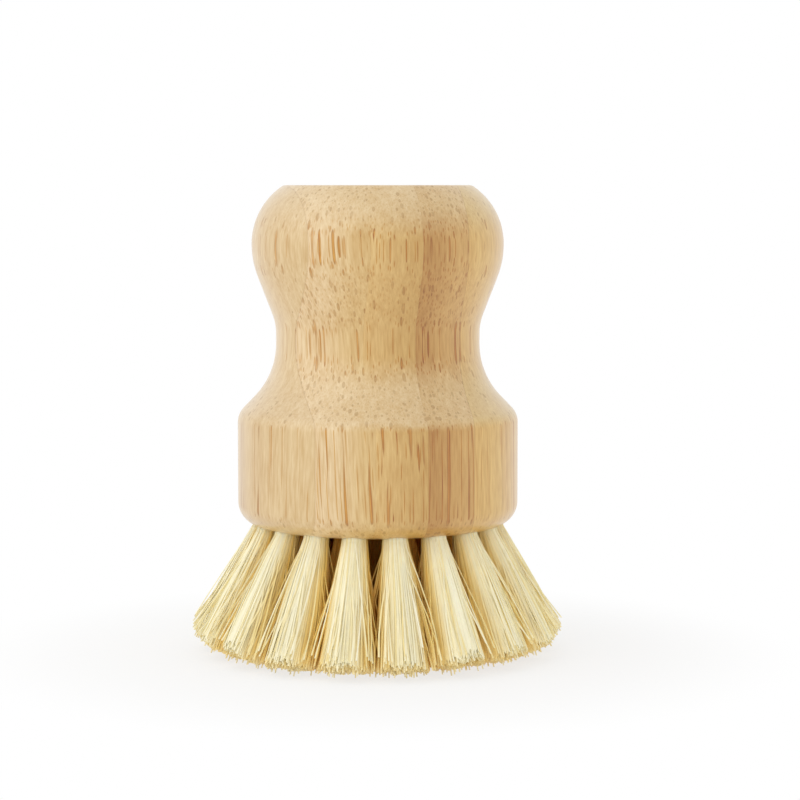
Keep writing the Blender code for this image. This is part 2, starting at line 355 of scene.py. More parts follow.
    def mixed(self, share: Level | Socket, first: Socket, second: Socket) -> Socket:
        """Mixes two shaders."""
        return self.node("ShaderNodeMixShader", inputs={0: share, 1: first, 2: second}).outputs[0]

    def seen_directly(self) -> Level:
        """Picks out what the camera sees, also by reflection or through something clear.

        Returns:
            1 where it is seen, and 0 where it only lights something else.
        """
        rays = self.node("ShaderNodeLightPath").outputs
        camera, glossy, clear = (
            Level(self, rays[f"Is {kind} Ray"]) for kind in ("Camera", "Glossy", "Transmission")
        )
        return camera.most(glossy).most(clear)


@dataclass(frozen=True)
class Laminate:
    """Where the handle's glue planes lie, and which way their normal points."""

    turn: float = math.radians(18.0)
    planes: tuple[float, ...] = (-16.3 * MM, -7.498 * MM, 1.0595 * MM, 9.78 * MM, 16.3 * MM)

    @property
    def normal(self) -> Vector:
        """The glue planes' normal, from the first strip to the last."""
        return Vector((math.cos(self.turn), math.sin(self.turn), 0.0))

    def sides(self, index: int) -> tuple[float | None, float | None]:
        """A strip's glue planes.

        Args:
            index: The strip's number from -X, from 0.

        Returns:
            The planes below and above it, None on the outer side of an outermost strip.
        """
        low = self.planes[index - 1] if index > 0 else None
        high = self.planes[index] if index < len(self.planes) else None
        return low, high


@dataclass(frozen=True)
class BambooFinish:
    """Lacquered bamboo cut from one strip of the culm's wall.

    The vessel bundles run up the handle. They are discs in plan, so they show as dots on the flat
    and sloping faces and as long lines on the upright ones. An upright_flat pair is for the upright
    faces and the flat ones, and an ease pair is where a share starts and ends. The first fields are
    the strip's own: its sides, how strong the glue shows and its tone at each, its paler tone on faces
    that look up, which is painted light from above, how far the low tone fades, the share of cells
    with a bundle at each side, how the grain leans in X and Y, how strong its threads are and its shift
    of the patterns.
    """

    name: str
    sides: Pair
    glue: Pair
    tone_low: Colour
    tone_high: Colour
    # Paler tone on faces that look up: painted light from above.
    painted_top_light_tone: Colour
    fade: float
    bundles: Pair
    lean: Pair
    thread_strength: float
    shift: float

    sway: Pattern = Pattern(16.0 * MM, 26.0 * MM, detail=1.0)
    sway_reach: float = 1.1 * MM
    wander: Pattern = Pattern(5.0 * MM, 60.0 * MM)
    wander_share: float = 0.5
    band: Pattern = Pattern(1.3 * MM, 40.0 * MM, 3.0)
    hair: Pattern = Pattern(0.22 * MM, 5.0 * MM, 5.0)
    fleck: Pattern = Pattern(0.46 * MM, 3.5 * MM, 6.0)
    patch: Pattern = Pattern(7.0 * MM, 9.0 * MM, 9.0)
    flat_ease: Pair = (0.12, 0.5)
    painted_top_light_ease: Pair = (0.05, 0.6)
    painted_top_light_share: float = 0.85
    gain_upright_flat: Pair = (0.22, 0.37)
    hair_upright_flat: Pair = (0.5, 0.4)
    fleck_upright_flat: Pair = (0.6, 0.36)
    band_gain: float = 0.36
    patch_gain: float = 0.12
    pull: Triple = (0.6, 1.0, 1.8)

    bundle_cells: Pattern = Pattern(0.88 * MM, 1.0)
    bundle_jitter: float = 0.85
    bundle_share: float = 0.25
    bundle_least: float = 0.55
    bundle_strength: Pair = (0.6, 1.1)
    bundle_ease: Pair = (1.1, 0.75)
    core_ease: Pair = (0.75, 0.35)
    bundle_upright_flat: Pair = (1.0, 0.6)
    cluster: Pattern = Pattern(2.6 * MM, 70.0 * MM, 13.0, 1.0)
    cluster_pull: float = 2.4
    breaks: Pattern = Pattern(0.9 * MM, 14.0 * MM, 7.0)
    break_ease: Pair = (0.22, 0.36)
    chance_ease: Pair = (-0.04, 0.04)
    thread_cells: Pattern = Pattern(0.45 * MM, 1.0, 11.0)
    thread_jitter: float = 1.0
    thread_crowd: float = 0.8
    thread_ease: Pair = (0.26, 0.12)
    thread_upright_flat: Pair = (2.2, 0.6)
    glue_ease: Pair = (0.14 * MM, 0.02 * MM)

    rim_shade: Colour = tone(202, 158, 56)
    core_shade: Colour = tone(233, 190, 80)
    dot_shade: Colour = tone(206, 188, 156)
    thread_shade: Colour = tone(230, 198, 124)
    glue_shade: Colour = tone(196, 166, 124)
    roughness: float = 0.4
    bundle_roughness: float = 0.14
    hair_roughness: float = 0.16
    hair_relief: float = 0.3
    bundle_relief: float = 0.5
    glue_relief: float = 0.2
    relief_depth: float = 0.03 * MM
    relief_strength: float = 0.6

    def material(self, laminate: Laminate) -> bpy.types.Material:
        """Builds the finish.

        Args:
            laminate: The glue planes, which give the direction across the strip.

        Returns:
            The material.
        """
        recipe = Recipe(bpy.data.materials.new(self.name))
        x, y, z = recipe.parts(recipe.place)
        normal = laminate.normal
        across = x * normal.x + y * normal.y
        along = y * normal.x - x * normal.y
        sway = recipe.noise(recipe.place, self.sway, self.shift)
        sway_x, sway_y, _ = recipe.parts(sway.outputs["Color"])
        grain_x = across + z * self.lean[0] + sway_x.centred() * self.sway_reach
        grain_y = along + z * self.lean[1] + sway_y.centred() * self.sway_reach
        grain = recipe.vector(grain_x, grain_y, z)

        low, high = self.sides
        depth = (across - low) / (high - low)
        wander = recipe.cloud(grain, self.wander, self.shift)
        share = (depth + wander.centred() * self.wander_share).eased(0.0, self.fade)
        ground = recipe.blend(share, self.tone_low, self.tone_high)
        band = recipe.cloud(grain, self.band, self.shift)
        hair = recipe.cloud(grain, self.hair, self.shift)
        fleck = recipe.cloud(grain, self.fleck, self.shift)
        patch = recipe.cloud(recipe.place, self.patch, self.shift)
        _, _, up = recipe.parts(recipe.node("ShaderNodeNewGeometry").outputs["Normal"])
        flat = abs(up).eased(*self.flat_ease)
        # Faces that look up are blended towards a paler tone: painted light from above.
        painted_top_light = up.eased(*self.painted_top_light_ease)
        ground = recipe.blend(painted_top_light * self.painted_top_light_share, ground, self.painted_top_light_tone)
        gain = flat.between(self.gain_upright_flat) + band * self.band_gain + patch * self.patch_gain
        gain = gain + hair * flat.between(self.hair_upright_flat)
        gain = gain + fleck * flat.between(self.fleck_upright_flat)
        ground = recipe.lit(ground, gain, self.pull)

        crowd = share.between(self.bundles)
        core, full = self._bundles(recipe, grain, crowd)
        threads = self._threads(recipe, grain, crowd) * self.thread_strength
        rim_shade = recipe.blend(flat, self.rim_shade, self.dot_shade)
        core_shade = recipe.blend(flat, self.core_shade, self.dot_shade)
        shade = recipe.blend(core, rim_shade, core_shade)
        threads = threads * flat.between(self.thread_upright_flat)
        colour = recipe.blend(threads, ground, self.thread_shade, "MULTIPLY")
        colour = recipe.blend(full * flat.between(self.bundle_upright_flat), colour, shade, "MULTIPLY")
        glue = self._glue_line(across)
        colour = recipe.blend(glue, colour, self.glue_shade, "MULTIPLY")

        height = hair * self.hair_relief + (1.0 - full) * self.bundle_relief + (1.0 - glue) * self.glue_relief
        recipe.surface(
            Base_Color=colour,
            Roughness=self.roughness + full * self.bundle_roughness + hair.centred() * self.hair_roughness,
            Normal=recipe.relief(height, self.relief_depth, self.relief_strength),
            Coat_Weight=0.9,
            Coat_Roughness=0.28,
            IOR=1.48,
        )
        return recipe.owner

    def _bundles(self, recipe: Recipe, grain: Socket, crowd: Level) -> tuple[Level, Level]:
        """The vessel bundles, of unlike sizes, which come in clusters and fade out in places.

        Args:
            recipe: The material being made.
            grain: The place along the leaning, swaying grain.
            crowd: The share of the cells that hold a bundle.

        Returns:
            The bundles' cores and the whole bundles, each from 0 to 1.
        """
        distance, own = recipe.cells(grain, self.bundle_cells, self.shift, self.bundle_jitter)
        chance, width, fade = own
        cluster = recipe.cloud(grain, self.cluster, self.shift)
        there = (crowd + cluster.centred() * self.cluster_pull - chance).eased(*self.chance_ease)
        reach = distance / (self.bundle_share * (self.bundle_least + width * width))
        breaks = recipe.cloud(grain, self.breaks, self.shift).eased(*self.break_ease)
        strength = there * fade.between(self.bundle_strength).least(1.0) * breaks
        return reach.eased(*self.core_ease), reach.eased(*self.bundle_ease) * strength

    def _threads(self, recipe: Recipe, grain: Socket, crowd: Level) -> Level:
        """Fine single fibres between the bundles.

        Args:
            recipe: The material being made.
            grain: The place along the grain.
            crowd: The share of the cells that hold a bundle.

        Returns:
            Where a thread shows, from 0 to 1.
        """
        distance, own = recipe.cells(grain, self.thread_cells, self.shift, self.thread_jitter)
        there = (crowd * self.thread_crowd - own[0]).eased(*self.chance_ease)
        return distance.eased(*self.thread_ease) * there

    def _glue_line(self, across: Level) -> Level:
        """The thin dark line at the strip's glued sides.

        Args:
            across: The distance from the axis across the strips.

        Returns:
            The line, as strong as each side's glue shows.
        """
        low = (across - self.sides[0]).eased(*self.glue_ease) * self.glue[0]
        high = (self.sides[1] - across).eased(*self.glue_ease) * self.glue[1]
        return low.most(high)


@dataclass(frozen=True)
class FibreFinish:
    """Pale dried plant fibre. Each fibre has its own tone, with golden ones among the cream.

    The deeper a fibre lies under the brush's outer surface, where the light has passed through many
    fibres, the darker and more golden brown it is painted as shade, and the sides that face a
    neighbouring tuft get a painted golden shade. The fibres are painted paler towards +X, a painted fill
    light on the side away from the lamp. Just above the trimmed ends they are a little darker, partly
    the cut ends' own tone and partly painted shade.
    """

    face_height: float
    root_reach: float
    tip_reach: float
    trim_flat_radius: float
    trim_round: float
    tufts: int
    first_turn: float
    name: str = "plant_fibre"
    stops: tuple[tuple[float, Colour], ...] = (
        (0.0, tone(244, 226, 164)),
        (0.1, tone(249, 237, 192)),
        (0.35, tone(252, 243, 206)),
        (0.8, tone(251, 244, 211)),
        (1.0, tone(251, 246, 220)),
    )
    streak: Pattern = Pattern(0.3 * MM, 9.0 * MM, 5.0)
    mottle: Pattern = Pattern(0.9 * MM, 6.0 * MM, 2.0)
    gain: float = 0.92
    streak_gain: float = 0.12
    mottle_gain: float = 0.12
    # How much paler the fibres are painted towards +X: painted fill light on the side away from the lamp.
    painted_fill_towards_x: float = 0.5
    # Painted shade deeper under the brush's outer surface, first pale and then golden brown.
    painted_shallow_shade_tone: Colour = tone(252, 238, 199)
    painted_shallow_shade_ease: Pair = (0.0, 2.6 * MM)
    painted_deep_shade_tone: Colour = tone(255, 216, 136)
    painted_deep_shade_ease: Pair = (2.8 * MM, 8.0 * MM)
    painted_shade_fade: float = 3.0 * MM
    # Painted shade on the sides of the outer tufts that face a neighbour.
    painted_slot_shade_tone: Colour = tone(250, 235, 170)
    painted_slot_shade_ease: Pair = (0.55, 1.0)
    painted_slot_shade_fade: float = 7.0 * MM
    painted_slot_shade_share: float = 0.6
    # Darker just above the trim: the cut ends' own tone and painted shade under the tips.
    cut_end_and_shade_tone: Colour = tone(205, 178, 128)
    cut_end_and_shade_ease: Pair = (0.7 * MM, 0.1 * MM)
    cut_end_and_shade_share: float = 0.05
    roughness: float = 0.6
    mottle_roughness: float = 0.16

    def material(self) -> bpy.types.Material:
        """Builds the finish.

        Returns:
            The material.
        """
        recipe = Recipe(bpy.data.materials.new(self.name))
        x, y, z = recipe.parts(recipe.place)
        reach = (x * x + y * y).root()
        own = recipe.level("ShaderNodeNewGeometry", output="Random Per Island")
        colour = recipe.node("ShaderNodeValToRGB", {"stops": self.stops}, {0: own}).outputs["Color"]
        streak = recipe.cloud(recipe.place, self.streak)
        mottle = recipe.cloud(recipe.place, self.mottle)
        # The last term makes the fibres paler towards +X: painted fill light on the side away from the lamp.
        gain = self.gain + mottle * self.mottle_gain + streak * self.streak_gain + x * self.painted_fill_towards_x
        colour = recipe.lit(colour, gain)

        # Painted shade: the deeper a fibre lies under the outer surface, the darker and more golden it is
        # made, fading out near the floor.
        slope = (self.root_reach - self.tip_reach) / self.face_height
        within = z * slope + self.tip_reach - reach
        for ease, tint in ((self.painted_shallow_shade_ease, self.painted_shallow_shade_tone), (self.painted_deep_shade_ease, self.painted_deep_shade_tone)):
            share = within.eased(*ease) * z.eased(0.0, self.painted_shade_fade)
            colour = recipe.blend(share, colour, tint, "MULTIPLY")
        # Painted shade on the sides of the outer tufts that face their neighbours, in the slots between them.
        wave = ((y.turn_from(x) - self.first_turn) * float(self.tufts)).cosine()
        between_tufts = (1.0 - wave) / 2.0
        share = between_tufts.eased(*self.painted_slot_shade_ease) * z.eased(0.0, self.painted_slot_shade_fade) * self.painted_slot_shade_share
        colour = recipe.blend(share, colour, self.painted_slot_shade_tone, "MULTIPLY")
        # Darker just above the trimmed ends: partly the cut ends' own tone, partly painted shade under the
        # tips.
        past = (reach - self.trim_flat_radius).most(0.0)
        above_trim = z - past * past / (2.0 * self.trim_round)
        cut = above_trim.eased(*self.cut_end_and_shade_ease) * self.cut_end_and_shade_share
        recipe.surface(
            Base_Color=recipe.blend(cut, colour, self.cut_end_and_shade_tone, "MULTIPLY"),
            Roughness=self.roughness + mottle * self.mottle_roughness,
            IOR=1.36,
        )
        return recipe.owner


@dataclass(frozen=True)
class WireFinish:
    """Flat galvanised wire, drawn along its length."""

    name: str = "staple_wire"
    bright: Colour = tone(196, 197, 194)
    dull: Colour = tone(150, 150, 146)
    drawn: Pattern = Pattern(0.06 * MM, 2.5 * MM, 1.0)
    spangle: Pattern = Pattern(0.7 * MM, 0.7 * MM, 4.0)
    drawn_share: float = 0.6
    bright_ease: Pair = (0.35, 0.65)
    roughness: Pair = (0.3, 0.52)
    relief_depth: float = 0.01 * MM
    relief_strength: float = 0.5

    def material(self) -> bpy.types.Material:
        """Builds the finish.

        Returns:
            The material.
        """
        recipe = Recipe(bpy.data.materials.new(self.name))
        drawn = recipe.cloud(recipe.place, self.drawn)
        spangle = recipe.cloud(recipe.place, self.spangle)
        mixed = drawn * self.drawn_share + spangle * (1.0 - self.drawn_share)
        recipe.surface(
            Base_Color=recipe.blend(mixed.eased(*self.bright_ease), self.dull, self.bright),
            Metallic=1.0,
            Roughness=mixed.between(self.roughness),
            Normal=recipe.relief(drawn, self.relief_depth, self.relief_strength),
        )
        return recipe.owner


@dataclass(frozen=True)
class HandleOutline:
    """The turned handle's outline, from the top face's edge down to the bottom face's."""

    overall_height: float = 80.0 * MM
    handle_height: float = 58.0 * MM
    top_radius: float = 16.0 * MM
    knob_drop: float = 10.0 * MM
    knob_radius: float = 21.5 * MM
    knob_lower_round: float = 15.5 * MM
    neck_slope: float = math.radians(21.0)
    waist_upper_round: float = 9.4 * MM
    waist_radius: float = 17.4 * MM
    waist_land: float = 1.6 * MM
    waist_lower_round: float = 13.1 * MM
    cone_slope: float = math.radians(44.0)
    shoulder_round: float = 3.5 * MM
    base_radius: float = 24.0 * MM
    base_edge_round: float = 4.0 * MM
    rim_ease: float = 1.6 * MM
    arc_step: float = math.radians(3.0)
    longest_side: float = 1.5 * MM

    @property
    def face_height(self) -> float:
        """The flat bottom face above the floor."""
        return self.overall_height - self.handle_height

    def arc(self, radius: float, height: float, size: float, start: float, end: float) -> Outline:
        """Points of an arc round a centre.

        Args:
            radius: The centre's radius.
            height: The centre's height.
            size: The arc's own radius, negative to bend it the other way.
            start: The first angle.
            end: The last angle.

        Returns:
            The points, as (radius, height).
        """
        steps = max(1, math.ceil(abs(end - start) / self.arc_step))
        angles = [start + (end - start) * step / steps for step in range(steps + 1)]
        return [(radius + size * math.cos(angle), height + size * math.sin(angle)) for angle in angles]

    def s_curve(
        self, top: float, height: float, bottom: float, slope: float, upper: float, lower: float
    ) -> tuple[Outline, float]:
        """An arc, a line at the slope and an arc back, down from one radius to another.

        Args:
            top: The radius at the top.
            height: The height of the top.
            bottom: The radius at the bottom.
            slope: The line's angle from upright.
            upper: The upper arc's radius.
            lower: The lower arc's radius.

        Returns:
            The points, and the height of the last of them.
        """
        side = math.copysign(1.0, bottom - top)
        step = abs(bottom - top)
        taken = (upper + lower) * (1.0 - math.cos(slope))
        fit = min(1.0, step / taken)
        upper, lower = upper * fit, lower * fit
        drop = (upper + lower) * math.sin(slope) + (step - taken * fit) / math.tan(slope)
        first = self.arc(top + side * upper, height, -side * upper, 0.0, side * slope)
        last = self.arc(bottom - side * lower, height - drop, side * lower, side * slope, 0.0)
        return first + last, height - drop

    def knob(self) -> Outline:
        """The knob's outline.

        Returns:
            The points from the eased edge of the top face down to the knob's widest ring.
        """
        overhang = self.knob_radius - self.top_radius
        size = (overhang**2 + self.knob_drop**2) / (2 * overhang)
        centre = self.knob_radius - size
        height = self.overall_height - self.knob_drop
        rise = self.knob_drop - self.rim_ease
        offset = math.sqrt((size - self.rim_ease) ** 2 - rise**2)
        meet = math.atan2(rise, offset)
        ease = self.arc(centre + offset, height + rise, self.rim_ease, QUARTER_TURN, meet)
        return ease + self.arc(centre, height, size, meet, 0.0)[1:]

    def points(self) -> Outline:
        """The whole outline.

        Returns:
            The points from top to bottom, with the straight lines divided.
        """
        neck, waist = self.s_curve(
            self.knob_radius, self.overall_height - self.knob_drop, self.waist_radius,
            self.neck_slope, self.knob_lower_round, self.waist_upper_round,
        )
        cone, _ = self.s_curve(
            self.waist_radius, waist - self.waist_land, self.base_radius,
            self.cone_slope, self.waist_lower_round, self.shoulder_round,
        )
        size = self.base_edge_round
        edge = self.arc(self.base_radius - size, self.face_height + size, size, 0.0, -QUARTER_TURN)
        return self.divided(self.knob() + neck[1:] + cone + edge)

    def divided(self, outline: Outline) -> Outline:
        """Divides an outline's long sides.

        Args:
            outline: The points.

        Returns:
            The points, with no side between them longer than the longest that is allowed.
        """
        points = outline[:1]
        for (r0, h0), (r1, h1) in zip(outline, outline[1:]):
            count = max(1, math.ceil(math.hypot(r1 - r0, h1 - h0) / self.longest_side))
            points += [(r0 + (r1 - r0) * n / count, h0 + (h1 - h0) * n / count) for n in range(1, count + 1)]
        return points


@dataclass(frozen=True)
class Ring:
    """One ring of holes in the bottom face, and the fan that its tufts open to."""

    name: str
    count: int
    phase: float
    tilt: float
    radius: float
    tip_inner: float
    tip_outer: float

    def seats(self, height: float) -> Iterator[Matrix]:
        """Each hole's place: the centre of its mouth, with +X turned outwards.

        Args:
            height: The bottom face's height.

        Yields:
            The place of each hole in turn, from the front.
        """
        for index in range(self.count):
            angle = FRONT + self.phase + math.tau * index / self.count
            centre = Vector((self.radius * math.cos(angle), self.radius * math.sin(angle), height))
            yield Matrix.Translation(centre) @ Matrix.Rotation(angle, 4, "Z")

    @property
    def inwards(self) -> Vector:
        """The hole's direction into the wood."""
        return Vector((-math.sin(self.tilt), 0.0, math.cos(self.tilt)))

    @property
    def outwards(self) -> Vector:
        """Square to the hole, away from the handle's axis."""
        return Vector((math.cos(self.tilt), 0.0, math.sin(self.tilt)))


BASE_RADIUS = HandleOutline.base_radius
RINGS = (
    Ring(
        "outer", 18, math.radians(9.0), math.radians(13.0),
        BASE_RADIUS * 0.81, BASE_RADIUS * 0.80, BASE_RADIUS * 1.39,
    ),
    Ring(
        "middle", 8, math.radians(20.0), math.radians(4.0),
        BASE_RADIUS * 0.49, BASE_RADIUS * 0.29, BASE_RADIUS * 0.80,
    ),
    Ring("centre", 1, 0.0, 0.0, 0.0, -BASE_RADIUS * 0.29, BASE_RADIUS * 0.29),
)


@dataclass(frozen=True)
class Hole:
    """The blind holes that the tufts are stapled into, and the staple's wire in them."""

    radius: float = 2.3 * MM
    depth: float = 8.0 * MM
    overrun: float = 3.0 * MM
    sides: int = 32
    crown_depth: float = 5.8 * MM
    wire_half_width: float = 0.6 * MM
    wire_half_span: float = 1.75 * MM
    wire_clear: float = 0.15 * MM
    wire_end_clear: float = 0.4 * MM

    def corner(self, ring: Ring, depth: float, turn: float) -> Vector:
        """A point on the hole's wall, in its seat's frame, at a depth and a turn round the hole."""
        out, across = self.radius * math.cos(turn), self.radius * math.sin(turn)
        return ring.inwards * depth + ring.outwards * out + Vector((0.0, 1.0, 0.0)) * across


def put(name: str, data: bpy.types.ID) -> bpy.types.Object:
    """Makes an object and links it to the scene.

    Args:
        name: Its name.
        data: Its mesh, camera or lamp.

    Returns:
        The object.
    """
    made = bpy.data.objects.new(name, data)
    bpy.context.scene.collection.objects.link(made)
    return made


def to_mesh(name: str, bm: bmesh.types.BMesh) -> bpy.types.Mesh:
    """Turns what was modelled into a mesh.

    Args:
        name: The mesh's name.
        bm: What was modelled, which is freed.

    Returns:
        The mesh.
    """
    mesh = bpy.data.meshes.new(name)
    bm.to_mesh(mesh)
    bm.free()
    return mesh


def add_piece(name: str, mesh: bpy.types.Mesh, finish: bpy.types.Material) -> bpy.types.Object:
    """Makes a piece that rides on the brush's one body.

    Args:
        name: The piece's name.
        mesh: Its mesh, in place.
        finish: Its material.

    Returns:
        The piece.
    """
    mesh.materials.clear()
    mesh.materials.append(finish)
    piece = put(name, mesh)
    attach(piece, BODY)
    return piece


@dataclass
class Handle:
    """The turned handle: six bamboo strips with the tufts' holes cut in them.

    Each row of looks, from -X to +X, is a strip's low and high tone and its paler tone on faces that
    look up, which is painted light from above, each as a screen shows them, and then its finish's fade,
    bundles, lean, thread strength and shift. The glue's strengths are those at the strips' sides, from
    -X to +X.
    """

    outline: HandleOutline = field(default_factory=HandleOutline)
    laminate: Laminate = field(default_factory=Laminate)
    hole: Hole = field(default_factory=Hole)
    sides: int = 216
    glue_gap: float = 0.002 * MM
    sharp: float = math.radians(35.0)
    dark_strip: int = 3
    glue: tuple[float, ...] = (0.1, 0.2, 0.0, 0.1, 0.3, 0.1, 0.1)
    looks: tuple[tuple[Any, ...], ...] = (
        (((213, 180, 126), (219, 187, 133), (219, 190, 141)), 1.0, (0.45, 0.08), (0.0, 0.02), 0.4, 51.8),
        (((228, 197, 147), (217, 180, 115), (225, 197, 149)), 1.0, (0.88, 0.6), (0.05, -0.04), 0.4, 54.3),
        (((217, 177, 108), (204, 161, 88), (225, 197, 149)), 1.0, (0.65, 0.45), (0.03, 0.05), 0.5, 79.0),
        (((189, 138, 66), (208, 162, 90), (221, 190, 136)), 0.85, (0.95, 0.65), (0.01, 0.02), 0.7, 103.7),
        (((216, 172, 95), (220, 178, 98), (219, 188, 124)), 1.0, (0.5, 0.15), (0.0, 0.03), 0.4, 106.2),
        (((216, 172, 95), (220, 178, 98), (219, 188, 124)), 1.0, (0.2, 0.3), (0.01, 0.02), 0.4, 86.5),
    )

    def finishes(self) -> Iterator[BambooFinish]:
        """The strips' finishes.

        Yields:
            Each strip's finish, from -X to +X.
        """
        edge = self.outline.base_radius
        sides = (-edge, *self.laminate.planes, edge)
        for index, (shown, *rest) in enumerate(self.looks):
            own = slice(index, index + 2)
            tones = [tone(*channels) for channels in shown]
            yield BambooFinish(f"bamboo_{index + 1}", sides[own], self.glue[own], *tones, *rest)

    def blank(self) -> bmesh.types.BMesh:
        """The turned blank, before it is cut.

        Returns:
            The outline turned round Z, closed by a flat face at each end.
        """
        bm = bmesh.new()
        points = [bm.verts.new((radius, 0.0, height)) for radius, height in self.outline.points()]
        edges = [bm.edges.new(pair) for pair in zip(points, points[1:])]
        bmesh.ops.spin(
            bm,
            geom=points + edges,
            cent=(0.0, 0.0, 0.0),
            axis=(0.0, 0.0, 1.0),
            angle=math.tau,
            steps=self.sides,
            use_merge=True,
        )
        bmesh.ops.holes_fill(bm, edges=bm.edges, sides=0)
        bmesh.ops.recalc_face_normals(bm, faces=bm.faces)
        return bm

    @staticmethod
    def keep_side(bm: bmesh.types.BMesh, distance: float, normal: Vector) -> None:
        """Cuts the blank at a plane, keeps the side the normal points to and closes the cut.

        Args:
            bm: The blank.
            distance: The plane's distance from the axis along the normal.
            normal: The plane's normal.
        """
        made = bmesh.ops.bisect_plane(
            bm,
            geom=list(bm.verts) + list(bm.edges) + list(bm.faces),
            plane_co=normal * distance,
            plane_no=normal,
            clear_inner=True,
        )
        rim = [item for item in made["geom_cut"] if isinstance(item, bmesh.types.BMEdge)]
        bmesh.ops.edgeloop_fill(bm, edges=rim)

    def cutter(self) -> bpy.types.Object:
        """All the holes as one piece.

        Returns:
            The cutting piece, to be removed after the cuts.
        """
        bm = bmesh.new()
        hole = self.hole
        turns = [math.tau * side / hole.sides for side in range(hole.sides)]
        for ring in RINGS:
            for seat in ring.seats(self.outline.face_height):
                lower, upper = (
                    [bm.verts.new(seat @ hole.corner(ring, depth, turn)) for turn in turns]
                    for depth in (-hole.overrun, hole.depth)
                )
                for side in range(hole.sides):
                    after = (side + 1) % hole.sides
                    bm.faces.new((lower[side], lower[after], upper[after], upper[side]))
                bm.faces.new(lower)
                bm.faces.new(upper)
        bmesh.ops.recalc_face_normals(bm, faces=bm.faces)
        return put("holes", to_mesh("holes", bm))

    def strip_mesh(self, index: int, cutter: bpy.types.Object) -> bpy.types.Mesh:
        """One strip, cut from the blank at its glue planes, with its share of the holes.

        Args:
            index: The strip's number from -X, from 0.
            cutter: The holes.

        Returns:
            The strip's mesh.
        """
        low, high = self.laminate.sides(index)
        normal = self.laminate.normal
        bm = self.blank()
        if low is not None:
            self.keep_side(bm, low + self.glue_gap / 2, normal)
        if high is not None:
            self.keep_side(bm, -(high - self.glue_gap / 2), -normal)
        bmesh.ops.recalc_face_normals(bm, faces=bm.faces)
        name = f"strip_{index + 1}_uncut"
        uncut = put(name, to_mesh(name, bm))
        cut = uncut.modifiers.new("holes", "BOOLEAN")
        cut.operation, cut.solver, cut.object = "DIFFERENCE", "EXACT", cutter
        graph = bpy.context.evaluated_depsgraph_get()
        made = bpy.data.meshes.new_from_object(uncut.evaluated_get(graph))
        bpy.data.objects.remove(uncut)
        made.shade_smooth()
        made.set_sharp_from_angle(angle=self.sharp)
        return made

    def build(self) -> None:
        """Makes and dresses the six strips in place of their CAD nodes."""
        cutter = self.cutter()
        for index, finish in enumerate(self.finishes()):
            name = f"handle_strip_{index + 1}"
            piece = add_piece(name, self.strip_mesh(index, cutter), finish.material(self.laminate))
            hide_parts(f"bamboo_strip_{index + 1}")
            slot = Slot.DARK_BAMBOO if index == self.dark_strip else Slot.BAMBOO
            LOG.info("%s: %d faces, %s", name, len(piece.data.polygons), finish.name)
        bpy.data.objects.remove(cutter)


@dataclass(frozen=True)
class TuftSizes:
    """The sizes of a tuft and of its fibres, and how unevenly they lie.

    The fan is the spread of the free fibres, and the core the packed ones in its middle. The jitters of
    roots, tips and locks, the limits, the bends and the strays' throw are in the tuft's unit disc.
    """

    root_radius: float = 2.1 * MM
    root_proud: float = 0.3 * MM
    root_jitter: Pair = (0.02, 0.03)
    fibres: int = 600
    fibre_radius: float = 0.07 * MM
    fibre_sides: int = 3
    radius_jitter: float = 0.08
    radius_range: Pair = (0.7, 1.35)
    tip_share: float = 2.0
    twist: float = 0.22
    outer_crowd: float = 0.4
    fold_levels: int = 4
    leg_levels: tuple[float, ...] = (0.0, 0.14, 0.35, 0.6, 0.82, 1.0)
    level_cut_fall: float = 0.5

    fan_gap: float = 0.1 * MM
    fan_bulge: float = 0.03
    fan_uneven: float = 0.06
    spread: float = 1.07
    opening: float = 0.85
    tip_jitter: float = 0.035
    tip_limit: float = 1.16
    tip_past: float = 0.12
    locks: int = 18
    lock_reach: float = 0.95
    lock_jitter: float = 0.05
    lock_bend: float = 0.05
    gather: float = 0.16
    gather_range: Pair = (0.2, 1.5)
    bend: float = 0.03
    bend_out: float = 0.02
    stray_share: float = 0.07
    stray_throw: float = 0.7
    stray_limit: float = 1.6
    stray_past: float = 2.1
    stray_bend: float = 0.2

    trim_flat_radius: float = 25.8 * MM
    trim_round: float = 12.0 * MM
    trim_uneven: float = 0.35 * MM
    trim_lift: float = 0.7 * MM
    trim_bite: float = 0.7 * MM
    trim_bites: int = 9
    trim_width: float = 1.2
    short_share: float = 0.08
    short_range: Pair = (0.3 * MM, 2.0 * MM)
    long_share: float = 0.04
    long_range: Pair = (0.3 * MM, 0.9 * MM)

    core_share: float = 0.95
    core_sides: int = 144
    core_uneven: float = 0.015
    core_short: Pair = (0.1 * MM, 1.0 * MM)
    core_inset: float = 0.08
    core_levels: int = 9
    core_wall: float = 0.985
    core_recess: float = 2.2 * MM


